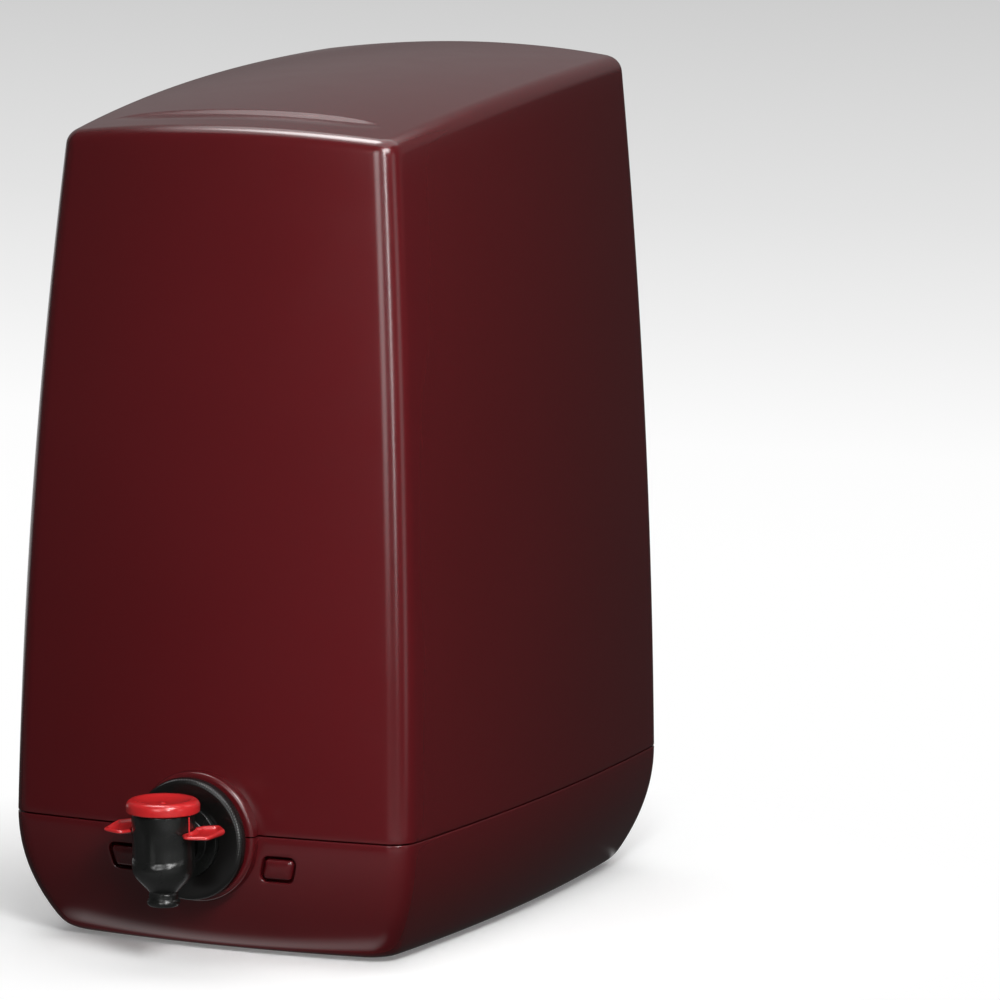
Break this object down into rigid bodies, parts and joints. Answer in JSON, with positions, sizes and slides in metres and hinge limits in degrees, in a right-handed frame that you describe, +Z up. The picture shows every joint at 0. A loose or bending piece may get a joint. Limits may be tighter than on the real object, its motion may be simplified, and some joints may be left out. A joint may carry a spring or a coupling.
{
  "type": "wine dispenser",
  "caption": "Countertop bag-in-box wine dispenser: a tapered glossy hood hinged on a hull-shaped base, with front latches and a push-button tap.",
  "frame": {"origin": "on the plane that the feet stand on, under the middle of the housing", "axes": "+Z up, +X to the right seen from the front, the tap and the front face -Y"},
  "size_m": [0.1806, 0.3046, 0.337],
  "materials": {
    "housing": "glossy dark burgundy ABS",
    "disc": "glossy black",
    "tap_black": "satin black polypropylene",
    "tap_red": "semi-gloss scarlet",
    "inner_plastic": "moulded dark grey",
    "clear_plastic": "natural polyethylene",
    "bag_film": "silvery film, crumpled",
    "foot_rubber": "matt",
    "seal_rubber": "smooth",
    "steel": "bright zinc plated"
  },
  "bodies": {
    "base": {"base_shell": "housing", "latch_guide_left": "inner_plastic", "latch_guide_right": "inner_plastic", "latch_spring_left": "steel", "latch_spring_right": "steel", "latch_screws": "steel", "cradle_screws": "steel", "hinge_pin_left": "steel", "hinge_pin_right": "steel", "bag_cradle": "inner_plastic", "wine_bag": "bag_film", "bag_gland": "tap_black", "tap_disc": "disc", "tap_body": "tap_black", "finger_wing_left": "tap_red", "finger_wing_right": "tap_red", "tap_diaphragm": "seal_rubber", "foot_front_left": "foot_rubber", "foot_front_right": "foot_rubber", "foot_rear_left": "foot_rubber", "foot_rear_right": "foot_rubber"},
    "hood": {"hood": "housing"},
    "latch_left": {"latch_button_left": "housing", "latch_hook_left": "inner_plastic"},
    "latch_right": {"latch_button_right": "housing", "latch_hook_right": "inner_plastic"},
    "tap_plunger": {"tap_button": "tap_red", "tap_stem": "clear_plastic", "tap_seal": "seal_rubber"}
  },
  "joints": [
    {"name": "hood_hinge", "type": "hinge", "parent": "base", "child": "hood", "pos_m": [0, 0.1306, 0.0498], "axis": [-1, 0, 0], "range_deg": [0, 90]},
    {"name": "latch_press_left", "type": "slide", "parent": "base", "child": "latch_left", "axis": [0, 1, 0], "range_m": [0, 0.003], "stiffness_N_per_m": 200, "springref_m": -0.003, "deforming": ["latch_spring_left"]},
    {"name": "latch_press_right", "type": "slide", "parent": "base", "child": "latch_right", "axis": [0, 1, 0], "range_m": [0, 0.003], "stiffness_N_per_m": 200, "springref_m": -0.003, "deforming": ["latch_spring_right"]},
    {"name": "tap_press", "type": "slide", "parent": "base", "child": "tap_plunger", "axis": [0, 0, -1], "range_m": [0, 0.003], "stiffness_N_per_m": 200, "springref_m": -0.003, "deforming": ["tap_diaphragm"]}
  ]
}
